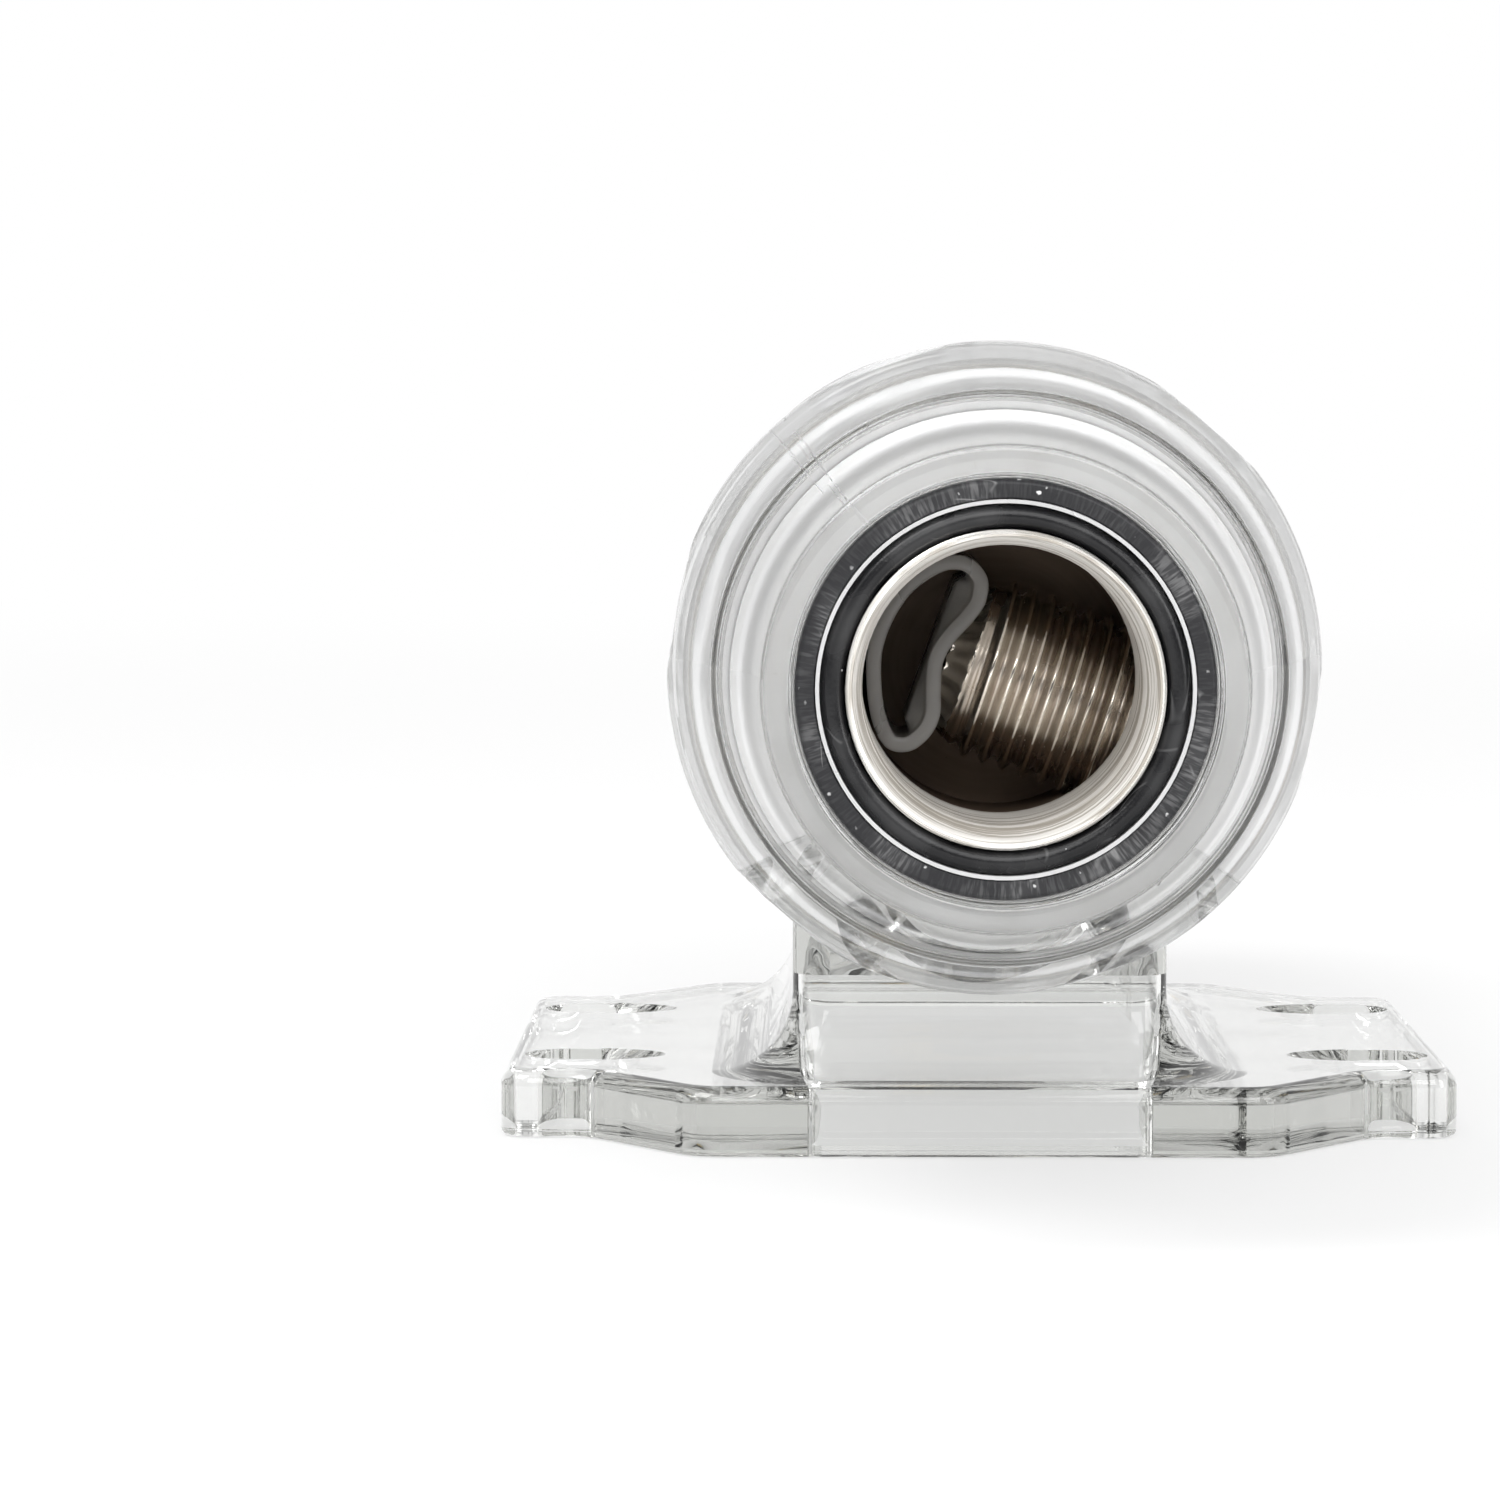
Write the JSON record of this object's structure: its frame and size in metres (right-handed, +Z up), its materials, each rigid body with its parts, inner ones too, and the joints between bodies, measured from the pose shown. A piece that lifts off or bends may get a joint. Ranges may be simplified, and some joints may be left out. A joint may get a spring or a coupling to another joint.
{
  "type": "anl fuse holder",
  "caption": "Clear in-line holder for a bolt-down blade fuse: barrel on a slotted base, with screw caps, rubber glands, plated cable terminals and set screws.",
  "frame": {"origin": "bottom centre of the base plate, under the middle of the barrel", "axes": "+Z up, Y along the barrel with the pictured end towards -Y, +X to the right seen from that end"},
  "size_m": [0.052, 0.129, 0.043],
  "materials": {
    "clear_moulding": "clear injection moulding, polished, faintly grey",
    "clear_cap": "clear injection moulding, polished",
    "black_rubber": "matt, scuffed",
    "glossy_rubber": "smooth, lightly oiled",
    "clear_liner": "thin clear sleeve",
    "nickel_plate": "nickel-plated brass, turning marks",
    "nickel_screw": "nickel-plated steel",
    "zinc_steel": "plated steel",
    "soft_clear_tube": "soft translucent tube",
    "black_housing": "fine moulded grain",
    "gold_plate": "gold-plated strip",
    "clear_pane": "clear pane",
    "rivet_brass": "rolled brass"
  },
  "bodies": {
    "holder": {"holder_body": "clear_moulding", "fuse_link": "gold_plate", "fuse_housing_upper": "black_housing", "fuse_housing_lower": "black_housing", "fuse_pane_upper": "clear_pane", "fuse_pane_lower": "clear_pane", "cap_ring_front": "black_rubber", "cap_ring_rear": "black_rubber", "seal_liner_front": "clear_liner", "seal_liner_rear": "clear_liner", "nose_seal_front": "glossy_rubber", "nose_seal_rear": "glossy_rubber", "terminal_front": "nickel_plate", "terminal_rear": "nickel_plate", "bore_sleeve_front": "soft_clear_tube", "bore_sleeve_rear": "soft_clear_tube", "flat_washer_front": "zinc_steel", "flat_washer_rear": "zinc_steel", "spring_washer_front": "zinc_steel", "spring_washer_rear": "zinc_steel", "fuse_rivet_front": "rivet_brass", "fuse_rivet_rear": "rivet_brass"},
    "gland_front": {"gland_seal_front": "black_rubber"},
    "cap_front": {"end_cap_front": "clear_cap"},
    "set_screw_front": {"cable_set_screw_front": "nickel_screw"},
    "fuse_screw_front": {"clamp_screw_front": "zinc_steel"},
    "gland_rear": {"gland_seal_rear": "black_rubber"},
    "cap_rear": {"end_cap_rear": "clear_cap"},
    "set_screw_rear": {"cable_set_screw_rear": "nickel_screw"},
    "fuse_screw_rear": {"clamp_screw_rear": "zinc_steel"}
  },
  "joints": [
    {"name": "cap_travel_front", "type": "slide", "parent": "holder", "child": "gland_front", "axis": [0, -1, 0], "range_m": [0, 0.009]},
    {"name": "cap_turn_front", "type": "hinge", "parent": "gland_front", "child": "cap_front", "pos_m": [0, -0.0645, 0.02685], "axis": [0, -1, 0], "range_deg": [0, 1080]},
    {"name": "set_screw_travel_front", "type": "slide", "parent": "holder", "child": "set_screw_front", "axis": [0.9397, 0, -0.342], "range_m": [0, 0.0038]},
    {"name": "clamp_screw_travel_front", "type": "slide", "parent": "holder", "child": "fuse_screw_front", "axis": [0.9397, 0, -0.342], "range_m": [0, 0.0034]},
    {"name": "cap_travel_rear", "type": "slide", "parent": "holder", "child": "gland_rear", "axis": [0, 1, 0], "range_m": [0, 0.009]},
    {"name": "cap_turn_rear", "type": "hinge", "parent": "gland_rear", "child": "cap_rear", "pos_m": [0, 0.0645, 0.02685], "axis": [0, 1, 0], "range_deg": [0, 1080]},
    {"name": "set_screw_travel_rear", "type": "slide", "parent": "holder", "child": "set_screw_rear", "axis": [0.9397, 0, -0.342], "range_m": [0, 0.0038]},
    {"name": "clamp_screw_travel_rear", "type": "slide", "parent": "holder", "child": "fuse_screw_rear", "axis": [0.9397, 0, -0.342], "range_m": [0, 0.0034]}
  ],
  "couplings": [
    {"joint": "cap_turn_front", "follows": "cap_travel_front", "rad_per_m": 2094.4},
    {"joint": "cap_turn_rear", "follows": "cap_travel_rear", "rad_per_m": 2094.4}
  ]
}
